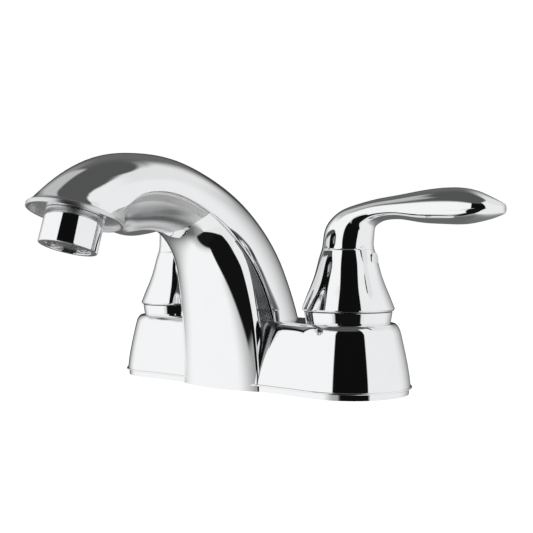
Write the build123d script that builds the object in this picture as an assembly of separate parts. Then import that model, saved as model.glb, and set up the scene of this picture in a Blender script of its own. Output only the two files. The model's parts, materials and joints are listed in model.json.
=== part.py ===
from build123d import *
from collections import namedtuple
import math
import os

# Centerset bathroom faucet. Millimetres, +Z up, spout towards -Y, cold side at +X.
# The origin is on the deck face, midway between the two inlet shanks.

# Driving dimensions of the casting
VALVE_SPACING = 101.6
BASE_HEIGHT = 29.0
LOBE_RADIUS = 25.7
LOBE_TAPER = 4.9
BAR_HALF_DEPTH = 24.8
BAR_TAPER = 7.4
LIP_REACH = 0.7
LIP_HEIGHT = 0.8
FOOT_HEIGHT = 2.4
FOOT_INSET = 0.6
FOOT_FILLET = 0.4
SIDE_POWER = 1.35
WAIST_FILLET = 18.0
NECK_HALF_WIDTH = 22.2
NECK_FILLET = 5.6
LOBE_TOP_ROUND = 2.0
BAR_TOP_ROUND = 3.6
BAR_TOP_PULL = 2.6
WALL = 3.0
ROOF = 3.5

# Driving dimensions of the spout
SPOUT_REACH = 100.9
OUTLET_HEIGHT = 70.8
ARCH_RISE = 26.8
OUTLET_TILT = 16.0
RIM_RADIUS = 18.45
RIM_THICKNESS = 1.2
RIM_EDGE = 0.3
LIP_WIDTH = 1.3
OUTLET_RECESS = 1.0
OUTLET_FLOOR = 3.0
LEDGE = 1.1
CORE_RADIUS = 11.5
CORE_WALL = 4.2
CORE_BENDS = [30, 30, 60]
WELL_RISE = 7.0
RIBBON_WIDTH = 3.1
RIBBON_LIMIT = 0.75
TONGUE_WIDTH = 0.6
TONGUE_DEPTH = 0.55
RIM_SWING = 62.0

# Driving dimensions of the aerator, counted outwards from the rim along the outlet axis
AERATOR_RADIUS = 11.03
AERATOR_REACH = 12.2
AERATOR_WALL = 1.1
AERATOR_LIP = 1.0
SCREEN_THICKNESS = 0.8
SCREEN_HOLE = 0.75
INSERT_THICKNESS = 2.6
WASHER_THICKNESS = 1.6
NIPPLE_BORE = 6.6
ELBOW_REACH = 12.6
ELBOW_RADIUS = 6.6
ELBOW_PORT = 12.0
ELBOW_FLANGE = 1.6

# Driving dimensions of the water way
TUBE_RADIUS = 4.76
TUBE_WALL = 0.8
TUBE_RISE = 9.0
TUBE_SOCKET = 3.0
TUBE_BENDS = [11, 30, 60]
TEE_HALF = 9.0
TEE_RISE = 7.0

# Driving dimensions of a valve, on its own upright axis
SHANK_RADIUS = 10.4
SHANK_BORE = 6.4
SHANK_DROP = 50.0
INLET_LENGTH = 10.5
GROOVE_DEPTH = 0.6
GROOVE_WIDTH = 1.5
DECK_PLATE = 2.0
VALVE_RADIUS = 14.0
COLLET_RADIUS = 12.8
COLLET_RISE = 4.0
SEAT_DEPTH = 21.0
SEAT_LIP = 3.0
CHAMBER_RADIUS = 9.4
SEAL_THICKNESS = 2.0
DISC_RADIUS = 7.5
DISC_THICKNESS = 3.0
DRIVER_THICKNESS = 3.0
GUIDE_RADIUS = 7.2
GUIDE_RISE = 5.0
STEM_RADIUS = 4.0
SPLINE_RADIUS = 3.4
STEM_RISE = 26.1
RING_SECTION = 0.55
NUT_THICKNESS = 3.4
NUT_ACROSS = 29.0

# Driving dimensions of the mounting nuts under the deck
DECK_GAP = 26.0
MOUNT_NUT_HEIGHT = 12.0
MOUNT_NUT_FLANGE = 17.5
MOUNT_NUT_FLANGE_THICKNESS = 2.6
MOUNT_NUT_RADIUS = 13.6
MOUNT_NUT_WING = 22.0
WING_THICKNESS = 3.2
WINGS = 4

# Driving dimensions of the handles
COLLAR_HEIGHT = 4.6
COLLAR_FOOT_RADIUS = 17.6
COLLAR_TOP_RADIUS = 18.4
COLLAR_BORE = 17.0
BELL_GAP = 0.3
BELL_RADIUS = 19.35
BELL_WALL = 2.4
NECK_RADIUS = 10.7
NECK_RISE = 26.6
CAVITY_RISE = 12.1
SOCKET_RADIUS = 5.6
SOCKET_RISE = 27.1
LEVER_AZIMUTH = 100.0
LEVER_LENGTH = 65.0
SCREW_RISE = 21.1
SCREW_RADIUS = 2.0
SCREW_LENGTH = 5.2
CAP_RADIUS = 3.3
CAP_SEAT = 9.6
CAP_REACH = 12.5
CAP_ROUND = 0.8

# Clearances
RUNNING = 0.05
ASSEMBLY = 0.1
PLATE_GAP = 0.3

HALF_SPACING = VALVE_SPACING / 2
LIP_TOP = FOOT_HEIGHT + LIP_HEIGHT
ROOF_LEVEL = BASE_HEIGHT - ROOF
COLLET_TOP = BASE_HEIGHT + COLLET_RISE
GUIDE_TOP = COLLET_TOP + GUIDE_RISE
SEAT_LEVEL = BASE_HEIGHT - SEAT_DEPTH
TUBE_LEVEL = SEAT_LEVEL + TUBE_RISE
TEE_TOP = TUBE_LEVEL + TEE_RISE
DISC_LEVEL = SEAT_LEVEL + SEAL_THICKNESS
UPPER_DISC_LEVEL = DISC_LEVEL + DISC_THICKNESS + RUNNING
DRIVER_LEVEL = UPPER_DISC_LEVEL + DISC_THICKNESS + RUNNING
DRIVER_TOP = DRIVER_LEVEL + DRIVER_THICKNESS
COLLAR_TOP = BASE_HEIGHT + COLLAR_HEIGHT
BELL_FOOT = COLLAR_TOP + BELL_GAP
NECK_LEVEL = BELL_FOOT + NECK_RISE
CAVITY_TOP = BELL_FOOT + CAVITY_RISE
SOCKET_TOP = BELL_FOOT + SOCKET_RISE
SCREW_LEVEL = BELL_FOOT + SCREW_RISE
STEM_TOP = BELL_FOOT + STEM_RISE

# Reach, outlet height and rise of the arch that the sections below are drawn for
DRAWN = (100.9, 70.8, 26.8)

# One section of the spout, in a plane across it. Belly and crown are the inner and the outer
# point on the middle plane, as (share of the drawn reach, share of the drawn height) in hundredths.
# Depths are measured from the belly towards the crown, widths from the middle plane.
Station = namedtuple(
    "Station", "belly crown corner_depth corner_width crease_depth cap_width"
)
STATIONS = [
    Station((-29.3, 0.0), (23.6, 0.0), 5.3, 23.0, 16.0, 24.2),
    Station((-30.3, 15.4), (22.4, 15.4), 5.3, 22.2, 16.4, 24.0),
    Station((-32.2, 30.2), (18.5, 29.7), 5.7, 21.4, 16.8, 23.6),
    Station((-35.2, 43.0), (12.4, 45.0), 6.2, 20.4, 15.2, 22.8),
    Station((-39.2, 53.8), (4.4, 60.2), 6.8, 19.2, 12.4, 21.8),
    Station((-44.6, 61.5), (-7.5, 74.2), 7.0, 18.2, 9.8, 21.0),
    Station((-50.6, 66.1), (-23.1, 86.0), 6.8, 17.4, 8.9, 20.4),
    Station((-56.6, 68.0), (-40.3, 94.0), 7.2, 16.8, 9.8, 20.0),
    Station((-63.6, 68.6), (-57.6, 98.7), 8.8, 16.4, 12.0, 19.7),
    Station((-71.4, 68.0), (-75.4, 99.1), 11.0, 16.2, 14.4, 19.4),
    Station((-78.2, 67.0), (-91.8, 95.7), 12.0, 16.2, 14.6, 19.0),
    Station((-80.6, 67.4), (-105.6, 88.0), 11.2, 16.2, 13.4, 18.7),
]

# Middle line of the bore inside the spout: the section that each point belongs to, and its shares
CORE_ROUTE = [
    (0, (-7.9, 18.4)), (3, (-10.9, 49.2)), (5, (-29.7, 77.4)), (8, (-61.4, 85.0)), (11, (-90.2, 80.4)),
]
# Bends of the water tube in the column and in the arch, in the same way
COLUMN_BEND = (4, (-23.0, 68.0))
ARCH_BEND = (7, (-50.0, 80.0))
# The well in the column runs between these places on Y
MIDDLE_WELL = (-25.0, 13.0)

# The bell of a handle, as (radius, height above its foot)
BELL_PROFILE = [
    (18.5, 0.0), (BELL_RADIUS, 0.9), (17.3, 6.2), (15.1, 11.6), (13.3, 17.0), (11.8, 22.8),
    (NECK_RADIUS, NECK_RISE),
]

# One section of the lever: its outer and inner point as (reach, height above the neck), half width and
# the share of its thickness below the widest line.
Rib = namedtuple("Rib", "outer inner half_width low_share")
RIBS = [
    Rib((-NECK_RADIUS, 0.0), (NECK_RADIUS, 0.0), NECK_RADIUS, 0.50),
    Rib((-9.9, 6.0), (10.9, 4.3), 10.1, 0.50),
    Rib((-7.8, 10.5), (11.3, 7.5), 9.4, 0.48),
    Rib((-3.0, 14.7), (12.4, 9.0), 8.9, 0.45),
    Rib((4.0, 17.3), (14.6, 10.2), 8.6, 0.42),
    Rib((13.0, 19.3), (18.2, 10.9), 8.6, 0.40),
    Rib((22.0, 20.5), (24.0, 10.8), 9.0, 0.38),
    Rib((32.0, 21.9), (32.6, 9.3), 9.8, 0.36),
    Rib((42.0, 22.7), (42.2, 8.5), 10.4, 0.36),
    Rib((51.0, 22.1), (51.0, 8.3), 10.4, 0.38),
    Rib((57.0, 20.2), (57.0, 9.3), 10.0, 0.41),
    Rib((60.0, 18.7), (60.0, 10.0), 8.7, 0.44),
    Rib((LEVER_LENGTH, 15.9), (LEVER_LENGTH, 11.6), 3.2, 0.50),
]


def disc(radius, low, high):
    """Upright cylinder between two heights."""
    return Pos(0, 0, low) * Cylinder(radius, high - low, align=(Align.CENTER, Align.CENTER, Align.MIN))


def ring(outer, inner, low, high):
    """Upright ring between two heights."""
    return disc(outer, low, high) - disc(inner, low - 1, high + 1)


def turned(points):
    """Solid turned round Z from (radius, height) points."""
    outline = [(radius, 0, height) for radius, height in points]
    return revolve(make_face(Polyline(*outline, close=True)), Axis.Z)


def bored(length, radius, level, start):
    """Cylinder along +X at a height, from a start, for ports and screws."""
    lying = Cylinder(radius, length, rotation=(0, 90, 0), align=(Align.CENTER, Align.CENTER, Align.MIN))
    return Pos(start, 0, level) * lying


def aimed(part, azimuth):
    """Turn a part made along +X to a direction counted from -Y towards +X."""
    return Rot(0, 0, azimuth - 90) * part


# Base of the casting


def base_outline(level, lobe, depth, neck_fillet, neck_width=NECK_HALF_WIDTH, waist=WAIST_FILLET):
    """Outline of the base: two lobes, a bar between them and the blend into the spout's foot."""
    waist_x = HALF_SPACING - math.sqrt((lobe + waist) ** 2 - (depth + waist) ** 2)
    centre = Vector(waist_x, depth + waist)
    lobe_centre = Vector(HALF_SPACING, 0)
    to_lobe = (lobe_centre - centre).normalized()
    on_lobe = centre + to_lobe * waist
    middle = centre + (to_lobe + Vector(0, -1)).normalized() * waist
    front = depth + neck_fillet
    slant = neck_fillet * (1 - math.sqrt(0.5))

    def quarter(sign_x, sign_y):
        return [Vector(p.X * sign_x, p.Y * sign_y, level) for p in
                (Vector(waist_x, depth), middle, on_lobe)]

    right_front, right_back = quarter(1, -1), quarter(1, 1)
    left_front, left_back = quarter(-1, -1), quarter(-1, 1)
    neck = [
        Vector(neck_width, -front, level),
        Vector(neck_width + slant, -depth - slant, level),
        Vector(neck_width + neck_fillet, -depth, level),
    ]
    neck_left = [Vector(-p.X, p.Y, level) for p in neck]
    edges = [
        Line(neck_left[0], neck[0]),
        ThreePointArc(*neck),
        Line(neck[2], right_front[0]),
        ThreePointArc(*right_front),
        ThreePointArc(right_front[2], Vector(HALF_SPACING + lobe, 0, level), right_back[2]),
        ThreePointArc(*right_back[::-1]),
        Line(right_back[0], left_back[0]),
        ThreePointArc(*left_back),
        ThreePointArc(left_back[2], Vector(-HALF_SPACING - lobe, 0, level), left_front[2]),
        ThreePointArc(*left_front[::-1]),
        Line(left_front[0], neck_left[2]),
        ThreePointArc(*neck_left[::-1]),
    ]
    return make_face(Wire(edges))


def side_share(level):
    """Share of the base's taper that is reached at a height, small at first and then even."""
    share = (level - LIP_TOP) / (BASE_HEIGHT - LIP_TOP)
    return share ** SIDE_POWER


def side_levels(top):
    """Heights at which the base's side has a section, from the lip to a top."""
    return [LIP_TOP + (top - LIP_TOP) * i / 3 for i in range(4)]


def base_section(level, inset=0.0, lobe_round=0.0, bar_round=0.0):
    """Section of the base at a height, moved inwards by a wall or by a rounded edge."""
    share = side_share(level)
    lobe = LOBE_RADIUS - LOBE_TAPER * share - inset - lobe_round
    depth = BAR_HALF_DEPTH - BAR_TAPER * share - inset - bar_round
    fillet = FOOT_FILLET + (NECK_FILLET - FOOT_FILLET) * share
    return base_outline(level, lobe, depth, fillet, NECK_HALF_WIDTH - inset, WAIST_FILLET + inset)


def base_block():
    """The base as a solid block, with foot, lip and rounded top edge."""
    foot_face = base_outline(
        0, LOBE_RADIUS - FOOT_INSET, BAR_HALF_DEPTH - FOOT_INSET, FOOT_FILLET
    )
    lip_face = base_outline(
        FOOT_HEIGHT, LOBE_RADIUS + LIP_REACH, BAR_HALF_DEPTH + LIP_REACH, FOOT_FILLET
    )
    shoulder = BASE_HEIGHT - BAR_TOP_ROUND
    side = loft([base_section(level) for level in side_levels(shoulder)])
    crown_faces = []
    for angle in (0, 22.5, 45, 67.5, 90):
        rise = math.sin(math.radians(angle))
        shrink = 1 - math.cos(math.radians(angle))
        level = shoulder + BAR_TOP_ROUND * rise
        crown_faces.append(
            base_section(level, 0, LOBE_TOP_ROUND * shrink, BAR_TOP_PULL * shrink)
        )
    crown = loft(crown_faces)
    foot = extrude(foot_face, FOOT_HEIGHT)
    lip = extrude(lip_face, LIP_HEIGHT)
    return foot + lip + side + crown


def base_cavity():
    """Space inside the base, open at the deck."""
    side = loft([base_section(level, WALL) for level in side_levels(ROOF_LEVEL)])
    foot = extrude(base_outline(0, LOBE_RADIUS - WALL, BAR_HALF_DEPTH - WALL, FOOT_FILLET,
                                NECK_HALF_WIDTH - WALL), LIP_TOP)
    return side + foot


# Spout of the casting


def outlet_plane(offset=0.0):
    """Plane at the outlet, its Z pointing out along the outlet axis."""
    tilt = math.radians(OUTLET_TILT)
    outward = Vector(0, -math.sin(tilt), -math.cos(tilt))
    centre = Vector(0, -SPOUT_REACH, OUTLET_HEIGHT) + outward * offset
    return Plane(origin=centre, x_dir=(1, 0, 0), z_dir=outward)


def elbow_centre():
    """Centre of the elbow above the outlet."""
    return outlet_plane(-ELBOW_REACH + TUBE_RADIUS).origin


def rearwards(radius, start, end):
    """Level cylinder from the elbow's centre towards the back."""
    return Plane(origin=elbow_centre(), x_dir=(1, 0, 0), z_dir=(0, 1, 0)) * disc(radius, start, end)


def eased(share):
    """Smooth step from 0 to 1."""
    share = min(max(share, 0), 1)
    return share * share * (3 - 2 * share)


def middle_point(section, share, arch_share=1.0):
    """Point on the middle plane that belongs to a section, moved from where it is drawn.

    The column's foot and the outlet keep their form. The sections between them make up for
    another reach or outlet height, and those of the arch rise with it.
    """
    along = eased((section - 2) / 7)
    up = eased(section / 5)
    arch = eased((section - 2) / 4) * (1 - eased((section - 6.5) / 4.5)) * arch_share
    reach, outlet, rise = DRAWN
    y = share[0] * reach / 100 - (SPOUT_REACH - reach) * along
    z = share[1] * (outlet + rise) / 100 + (OUTLET_HEIGHT - outlet) * up + (ARCH_RISE - rise) * arch
    return Vector(0, y, z)


def station_points(index):
    """Belly and crown points of a station."""
    station = STATIONS[index]
    return middle_point(index, station.belly), middle_point(index, station.crown)


def rim_station(radius):
    """Belly and crown points of the round section at the rim."""
    tilt = math.radians(OUTLET_TILT)
    across = Vector(0, -math.cos(tilt), math.sin(tilt))
    centre = outlet_plane().origin
    return centre - across * radius, centre + across * radius


def section_plane(belly, crown, depth):
    """Plane of a section, with X across the spout and Y towards the crown."""
    across = (crown - belly).normalized()
    origin = belly + across * depth
    return Plane(origin=origin, x_dir=(1, 0, 0), z_dir=Vector(1, 0, 0).cross(across))


def cap_section(belly, crown, crease_depth, width):
    """Half ellipse of the outer band, closed by its chord at the crease."""
    height = (crown - belly).length - crease_depth
    arc = EllipticalCenterArc((0, 0), width, height, start_angle=0, arc_size=180)
    face = make_face(Wire([arc, Line((-width, 0), (width, 0))]))
    return section_plane(belly, crown, crease_depth) * face


def inner_section(belly, crown, corner, crease, ribbon):
    """Section of the inner band: belly arc, ribbon, side panel and a tongue inside the cap."""
    corner_x, corner_y = corner
    side_x, crease_y = crease
    tongue_x = side_x * TONGUE_WIDTH
    tongue_y = crease_y + ((crown - belly).length - crease_y) * TONGUE_DEPTH
    ribbon_y = corner_y + min(ribbon, (crease_y - corner_y) * RIBBON_LIMIT)
    right = [(corner_x, corner_y), (side_x, ribbon_y), (side_x, crease_y), (tongue_x, tongue_y)]
    left = [(-x, y) for x, y in right]
    edges = [ThreePointArc(left[0], (0, 0), right[0])]
    edges += [Line(a, b) for a, b in zip(right, right[1:])]
    edges.append(Line(right[-1], left[-1]))
    edges += [Line(a, b) for a, b in zip(left[::-1], left[-2::-1])]
    return section_plane(belly, crown, 0) * make_face(Wire(edges))


def spout_cap():
    """Outer band of the spout, from the deck over the arch to the rim."""
    faces = []
    for index, station in enumerate(STATIONS):
        belly, crown = station_points(index)
        faces.append(cap_section(belly, crown, station.crease_depth, station.cap_width))
    radius = RIM_RADIUS - RUNNING
    belly, crown = rim_station(radius)
    faces.append(cap_section(belly, crown, radius, radius))
    return loft(faces)


def spout_inner():
    """Inner band of the spout: the column's front, the ribbons and the underside."""
    faces = []
    for index, station in enumerate(STATIONS):
        belly, crown = station_points(index)
        corner = (station.corner_width, station.corner_depth)
        crease = (station.cap_width - LEDGE, station.crease_depth)
        faces.append(inner_section(belly, crown, corner, crease, RIBBON_WIDTH))
    radius = RIM_RADIUS - 8 * RUNNING
    belly, crown = rim_station(radius)
    swing = math.radians(RIM_SWING)
    corner = (radius * math.sin(swing), radius * (1 - math.cos(swing)))
    faces.append(inner_section(belly, crown, corner, (radius * 0.99, radius), radius))
    return loft(faces)


def spout_core():
    """Space inside the spout: a well up the column, a bent bore and the outlet's chamber."""
    well_depth = (MIDDLE_WELL[1] - MIDDLE_WELL[0]) / 2
    well = make_face(Ellipse(NECK_HALF_WIDTH - CORE_WALL, well_depth).wire())
    core = Pos(0, MIDDLE_WELL[0] + well_depth, -1) * extrude(well, BASE_HEIGHT + WELL_RISE + 1)
    route = [middle_point(section, share, 0.5) for section, share in CORE_ROUTE]
    path = FilletPolyline(*route, radius=CORE_BENDS)
    start = Plane(origin=route[0], z_dir=(path % 0))
    core += sweep(start * Circle(CORE_RADIUS), path=path)
    floor = -OUTLET_RECESS - OUTLET_FLOOR
    flange = AERATOR_RADIUS - AERATOR_WALL + ELBOW_FLANGE + 2 * ASSEMBLY
    core += outlet_plane() * disc(flange, floor - ELBOW_FLANGE - ASSEMBLY, floor)
    core += outlet_plane() * disc(ELBOW_RADIUS + WALL / 3, -ELBOW_REACH - ASSEMBLY, floor - ASSEMBLY)
    return core + rearwards(ELBOW_RADIUS + WALL / 2, -1, ELBOW_PORT + 2)


def faucet_body():
    """The hollow casting: base, spout and round outlet in one piece."""
    outlet = outlet_plane()
    nipple_hole = AERATOR_RADIUS - AERATOR_WALL + ASSEMBLY
    body = base_block() + (spout_inner() + spout_cap())
    body += outlet * disc(RIM_RADIUS, -RIM_THICKNESS, RIM_EDGE)
    body -= outlet * disc(RIM_RADIUS - LIP_WIDTH, -OUTLET_RECESS, 1)
    body -= spout_core() + base_cavity()
    body -= outlet * disc(nipple_hole, -OUTLET_RECESS - OUTLET_FLOOR - 1, 1)
    for side in (-1, 1):
        body -= Pos(side * HALF_SPACING, 0, 0) * disc(COLLET_RADIUS + PLATE_GAP, 1, BASE_HEIGHT + 1)
    return body


def deck_plate():
    """Plate that closes the base and seals it on the deck."""
    inset = WALL + PLATE_GAP
    face = base_outline(
        0, LOBE_RADIUS - inset, BAR_HALF_DEPTH - inset, FOOT_FILLET, NECK_HALF_WIDTH - inset
    )
    plate = extrude(face, DECK_PLATE)
    for side in (-1, 1):
        plate -= Pos(side * HALF_SPACING, 0, 0) * disc(SHANK_RADIUS + PLATE_GAP, -1, DECK_PLATE + 1)
    return plate


# Water way between the valves and the outlet


def mixing_tee():
    """Block that joins the two crossover tubes and feeds the spout."""
    height = TEE_TOP - TUBE_LEVEL + TEE_HALF
    block = Pos(0, 0, TEE_TOP - height / 2) * Box(2 * TEE_HALF, 1.5 * TEE_HALF, height)
    bore = TUBE_RADIUS - TUBE_WALL
    block -= bored(2 * TEE_HALF + 2, bore, TUBE_LEVEL, -TEE_HALF - 1)
    block -= disc(bore, TUBE_LEVEL, TEE_TOP + 1)
    for turn in (0, 180):
        block -= Rot(0, 0, turn) * bored(
            TUBE_SOCKET + 1, TUBE_RADIUS + RUNNING, TUBE_LEVEL, TEE_HALF - TUBE_SOCKET
        )
    return block - disc(TUBE_RADIUS + RUNNING, TEE_TOP - TUBE_SOCKET, TEE_TOP + 1)


def crossover_tube():
    """Straight tube from the tee to the cold valve."""
    start = TEE_HALF - TUBE_SOCKET
    length = HALF_SPACING - VALVE_RADIUS + TUBE_SOCKET - start
    outer = bored(length, TUBE_RADIUS, TUBE_LEVEL, start)
    return outer - bored(length + 2, TUBE_RADIUS - TUBE_WALL, TUBE_LEVEL, start - 1)


def spout_tube():
    """Bent tube from the tee up the column and along the arch to the elbow."""
    elbow = elbow_centre()
    points = [
        Vector(0, 0, TEE_TOP - TUBE_SOCKET),
        Vector(0, 0, TEE_TOP + TUBE_SOCKET),
        middle_point(*COLUMN_BEND),
        Vector(0, middle_point(*ARCH_BEND).Y, elbow.Z),
        Vector(0, elbow.Y + ELBOW_PORT - TUBE_SOCKET, elbow.Z),
    ]
    path = FilletPolyline(*points, radius=TUBE_BENDS)
    start = Plane(origin=points[0], z_dir=(path % 0))
    outer = sweep(start * Circle(TUBE_RADIUS), path=path)
    bore = sweep(start * Circle(TUBE_RADIUS - TUBE_WALL), path=path)
    return outer - bore


def outlet_elbow():
    """Elbow clamped on the outlet floor, with the nipple that carries the aerator."""
    floor = -OUTLET_RECESS - OUTLET_FLOOR
    nipple = AERATOR_RADIUS - AERATOR_WALL - RUNNING
    reach = AERATOR_REACH - AERATOR_LIP - SCREEN_THICKNESS - INSERT_THICKNESS - WASHER_THICKNESS
    body = disc(nipple, floor - 1, reach) + disc(nipple + ELBOW_FLANGE, floor - ELBOW_FLANGE, floor)
    body += disc(ELBOW_RADIUS, -ELBOW_REACH, floor)
    body -= disc(NIPPLE_BORE, floor, reach + 1)
    body -= disc(TUBE_RADIUS - TUBE_WALL, -ELBOW_REACH + TUBE_RADIUS, floor + 1)
    body = outlet_plane() * body
    body += rearwards(ELBOW_RADIUS, 0, ELBOW_PORT)
    body -= rearwards(TUBE_RADIUS - TUBE_WALL, 0, ELBOW_PORT + 1)
    return body - rearwards(TUBE_RADIUS + RUNNING, ELBOW_PORT - TUBE_SOCKET, ELBOW_PORT + 1)


def aerator_housing():
    """Turned housing of the aerator, screwed on the nipple."""
    inner = AERATOR_RADIUS - AERATOR_WALL
    housing = disc(AERATOR_RADIUS, -OUTLET_RECESS + ASSEMBLY, AERATOR_REACH)
    housing = chamfer(housing.edges().group_by(Axis.Z)[-1], 0.35)
    housing -= disc(inner, -2, AERATOR_REACH - AERATOR_LIP)
    housing -= disc(inner - 1.2, 0, AERATOR_REACH + 1)
    return outlet_plane() * housing


def aerator_screen():
    """Perforated screen that rests on the housing's lip."""
    top = AERATOR_REACH - AERATOR_LIP
    radius = AERATOR_RADIUS - AERATOR_WALL - RUNNING
    screen = disc(radius, top - SCREEN_THICKNESS, top)
    for count, circle in ((1, 0.0), (6, 2.6), (12, 5.2), (18, 7.6)):
        spots = PolarLocations(circle, count) if count > 1 else Locations((0, 0))
        screen -= [spot * disc(SCREEN_HOLE, top - 2, top + 1) for spot in spots]
    return outlet_plane() * screen


def flow_insert():
    """Moulded insert that mixes air into the stream."""
    top = AERATOR_REACH - AERATOR_LIP - SCREEN_THICKNESS
    radius = AERATOR_RADIUS - AERATOR_WALL - RUNNING
    insert = disc(radius, top - INSERT_THICKNESS, top)
    insert -= ring(radius - 1.4, 3.0, top - INSERT_THICKNESS - 1, top - 1.2)
    insert -= [spot * disc(1.0, top - 4, top + 1) for spot in PolarLocations(5.4, 8)]
    return outlet_plane() * insert


def aerator_washer():
    """Rubber washer between the nipple and the insert."""
    top = AERATOR_REACH - AERATOR_LIP - SCREEN_THICKNESS - INSERT_THICKNESS
    outer = AERATOR_RADIUS - AERATOR_WALL - RUNNING
    return outlet_plane() * ring(outer, NIPPLE_BORE, top - WASHER_THICKNESS, top)


# Cold valve, built on the origin's axis


def valve_body():
    """Brass valve body with its threaded shank, seat and side port."""
    body = disc(SHANK_RADIUS, -SHANK_DROP, DECK_PLATE) + disc(VALVE_RADIUS, DECK_PLATE, ROOF_LEVEL)
    body += disc(COLLET_RADIUS, ROOF_LEVEL, COLLET_TOP)
    body -= disc(SHANK_BORE, -SHANK_DROP - 1, SEAT_LEVEL - SEAT_LIP)
    body -= disc(SHANK_BORE - 2, -1, SEAT_LEVEL + 1)
    inlet_top = -SHANK_DROP + INLET_LENGTH
    body -= ring(SHANK_RADIUS + 1, SHANK_RADIUS - GROOVE_DEPTH, inlet_top, inlet_top + GROOVE_WIDTH)
    body -= disc(CHAMBER_RADIUS, SEAT_LEVEL, COLLET_TOP + 1)
    socket_start = VALVE_RADIUS - TUBE_SOCKET
    port = bored(VALVE_RADIUS, TUBE_RADIUS - TUBE_WALL, TUBE_LEVEL, 0)
    port += bored(TUBE_SOCKET + 1, TUBE_RADIUS + RUNNING, TUBE_LEVEL, socket_start)
    return body - Rot(0, 0, 180) * port


def mounting_nut():
    """Winged nut that clamps the deck from below."""
    top = -DECK_GAP
    nut = disc(MOUNT_NUT_FLANGE, top - MOUNT_NUT_FLANGE_THICKNESS, top)
    nut += disc(MOUNT_NUT_RADIUS, top - MOUNT_NUT_HEIGHT, top)
    wing = Pos(MOUNT_NUT_WING / 2, 0, top - MOUNT_NUT_HEIGHT / 2) * Box(
        MOUNT_NUT_WING, WING_THICKNESS, MOUNT_NUT_HEIGHT
    )
    for spot in PolarLocations(0, WINGS, 45):
        nut += spot * wing
    return nut - disc(SHANK_RADIUS + RUNNING, top - MOUNT_NUT_HEIGHT - 1, top + 1)


def cartridge_housing():
    """Brass cartridge that holds the discs and guides the stem."""
    radius = CHAMBER_RADIUS - ASSEMBLY
    housing = disc(radius, DISC_LEVEL, COLLET_TOP) + disc(GUIDE_RADIUS, COLLET_TOP, GUIDE_TOP)
    housing -= disc(DISC_RADIUS + ASSEMBLY, DISC_LEVEL - 1, DRIVER_TOP + RUNNING)
    housing -= disc(STEM_RADIUS + RUNNING, DISC_LEVEL, GUIDE_TOP + 1)
    window = Pos(0, 0, TUBE_LEVEL) * Box(3 * radius, 6.0, DRIVER_THICKNESS)
    return housing - window


def seat_seal():
    """Rubber ring that presses the fixed disc against the water."""
    return ring(CHAMBER_RADIUS - ASSEMBLY, SHANK_BORE - 2, SEAT_LEVEL, DISC_LEVEL)


def ceramic_disc(level, radius):
    """Ceramic disc with two opposite sector ports."""
    plate = disc(radius, level, level + DISC_THICKNESS)
    port = Pos(radius * 0.5, 0, 0) * disc(radius * 0.3, level - 1, level + DISC_THICKNESS + 1)
    return plate - port - Rot(0, 0, 180) * port


def valve_stem():
    """Stem with its driver disc and the spline that turns with the handle."""
    stem = disc(DISC_RADIUS - RUNNING, DRIVER_LEVEL, DRIVER_TOP)
    stem += disc(STEM_RADIUS, DRIVER_TOP, GUIDE_TOP + 1)
    stem += disc(SPLINE_RADIUS, GUIDE_TOP, STEM_TOP)
    for level in ring_levels():
        stem -= ring(STEM_RADIUS + 1, STEM_RADIUS - 2 * RING_SECTION, level, level + 2 * RING_SECTION)
    return stem


def ring_levels():
    """Heights of the two ring grooves on the stem."""
    middle = (DRIVER_TOP + GUIDE_TOP) / 2
    return (middle - 3, middle + 2)


def stem_rings():
    """Two rubber rings in the stem's grooves."""
    inner = STEM_RADIUS - 2 * RING_SECTION
    outer = STEM_RADIUS + RUNNING / 2
    rings = [ring(outer, inner, level, level + 2 * RING_SECTION) for level in ring_levels()]
    return Compound(children=[part.solid() for part in rings])


def bonnet_nut():
    """Hexagon nut that clamps the valve body against the casting's roof."""
    face = RegularPolygon(NUT_ACROSS / 2, 6, major_radius=False)
    nut = Pos(0, 0, BASE_HEIGHT) * extrude(face, NUT_THICKNESS)
    return nut - disc(COLLET_RADIUS + RUNNING, BASE_HEIGHT - 1, COLLET_TOP + 1)


def collar():
    """Chrome ring between the base and the bell."""
    profile = [
        (COLLAR_BORE, BASE_HEIGHT), (COLLAR_FOOT_RADIUS, BASE_HEIGHT),
        (COLLAR_TOP_RADIUS, COLLAR_TOP), (COLLAR_BORE, COLLAR_TOP),
    ]
    return turned(profile)


# Cold handle, built on the origin's axis with its lever along +X


def bell():
    """Turned bell with its hollow skirt."""
    outer = Spline(*[(radius, 0, BELL_FOOT + rise) for radius, rise in BELL_PROFILE[1:]])
    foot = [(radius, 0, BELL_FOOT + rise) for radius, rise in BELL_PROFILE[:2]]
    closing = Polyline(outer @ 1, (0, 0, NECK_LEVEL), (0, 0, BELL_FOOT), foot[0], foot[1])
    return revolve(make_face(Wire([outer, *closing.edges()])), Axis.Z)


def bell_cavity():
    """Space under the skirt, with the splined socket above it."""
    points = [(0, BELL_FOOT - 1)]
    points.append((BELL_RADIUS - BELL_WALL, BELL_FOOT - 1))
    for radius, rise in BELL_PROFILE[1:4]:
        points.append((radius - BELL_WALL, BELL_FOOT + rise))
    points.append((points[-1][0], CAVITY_TOP))
    points.append((0, CAVITY_TOP))
    return turned(points) + disc(SOCKET_RADIUS, CAVITY_TOP - 1, SOCKET_TOP)


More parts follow.
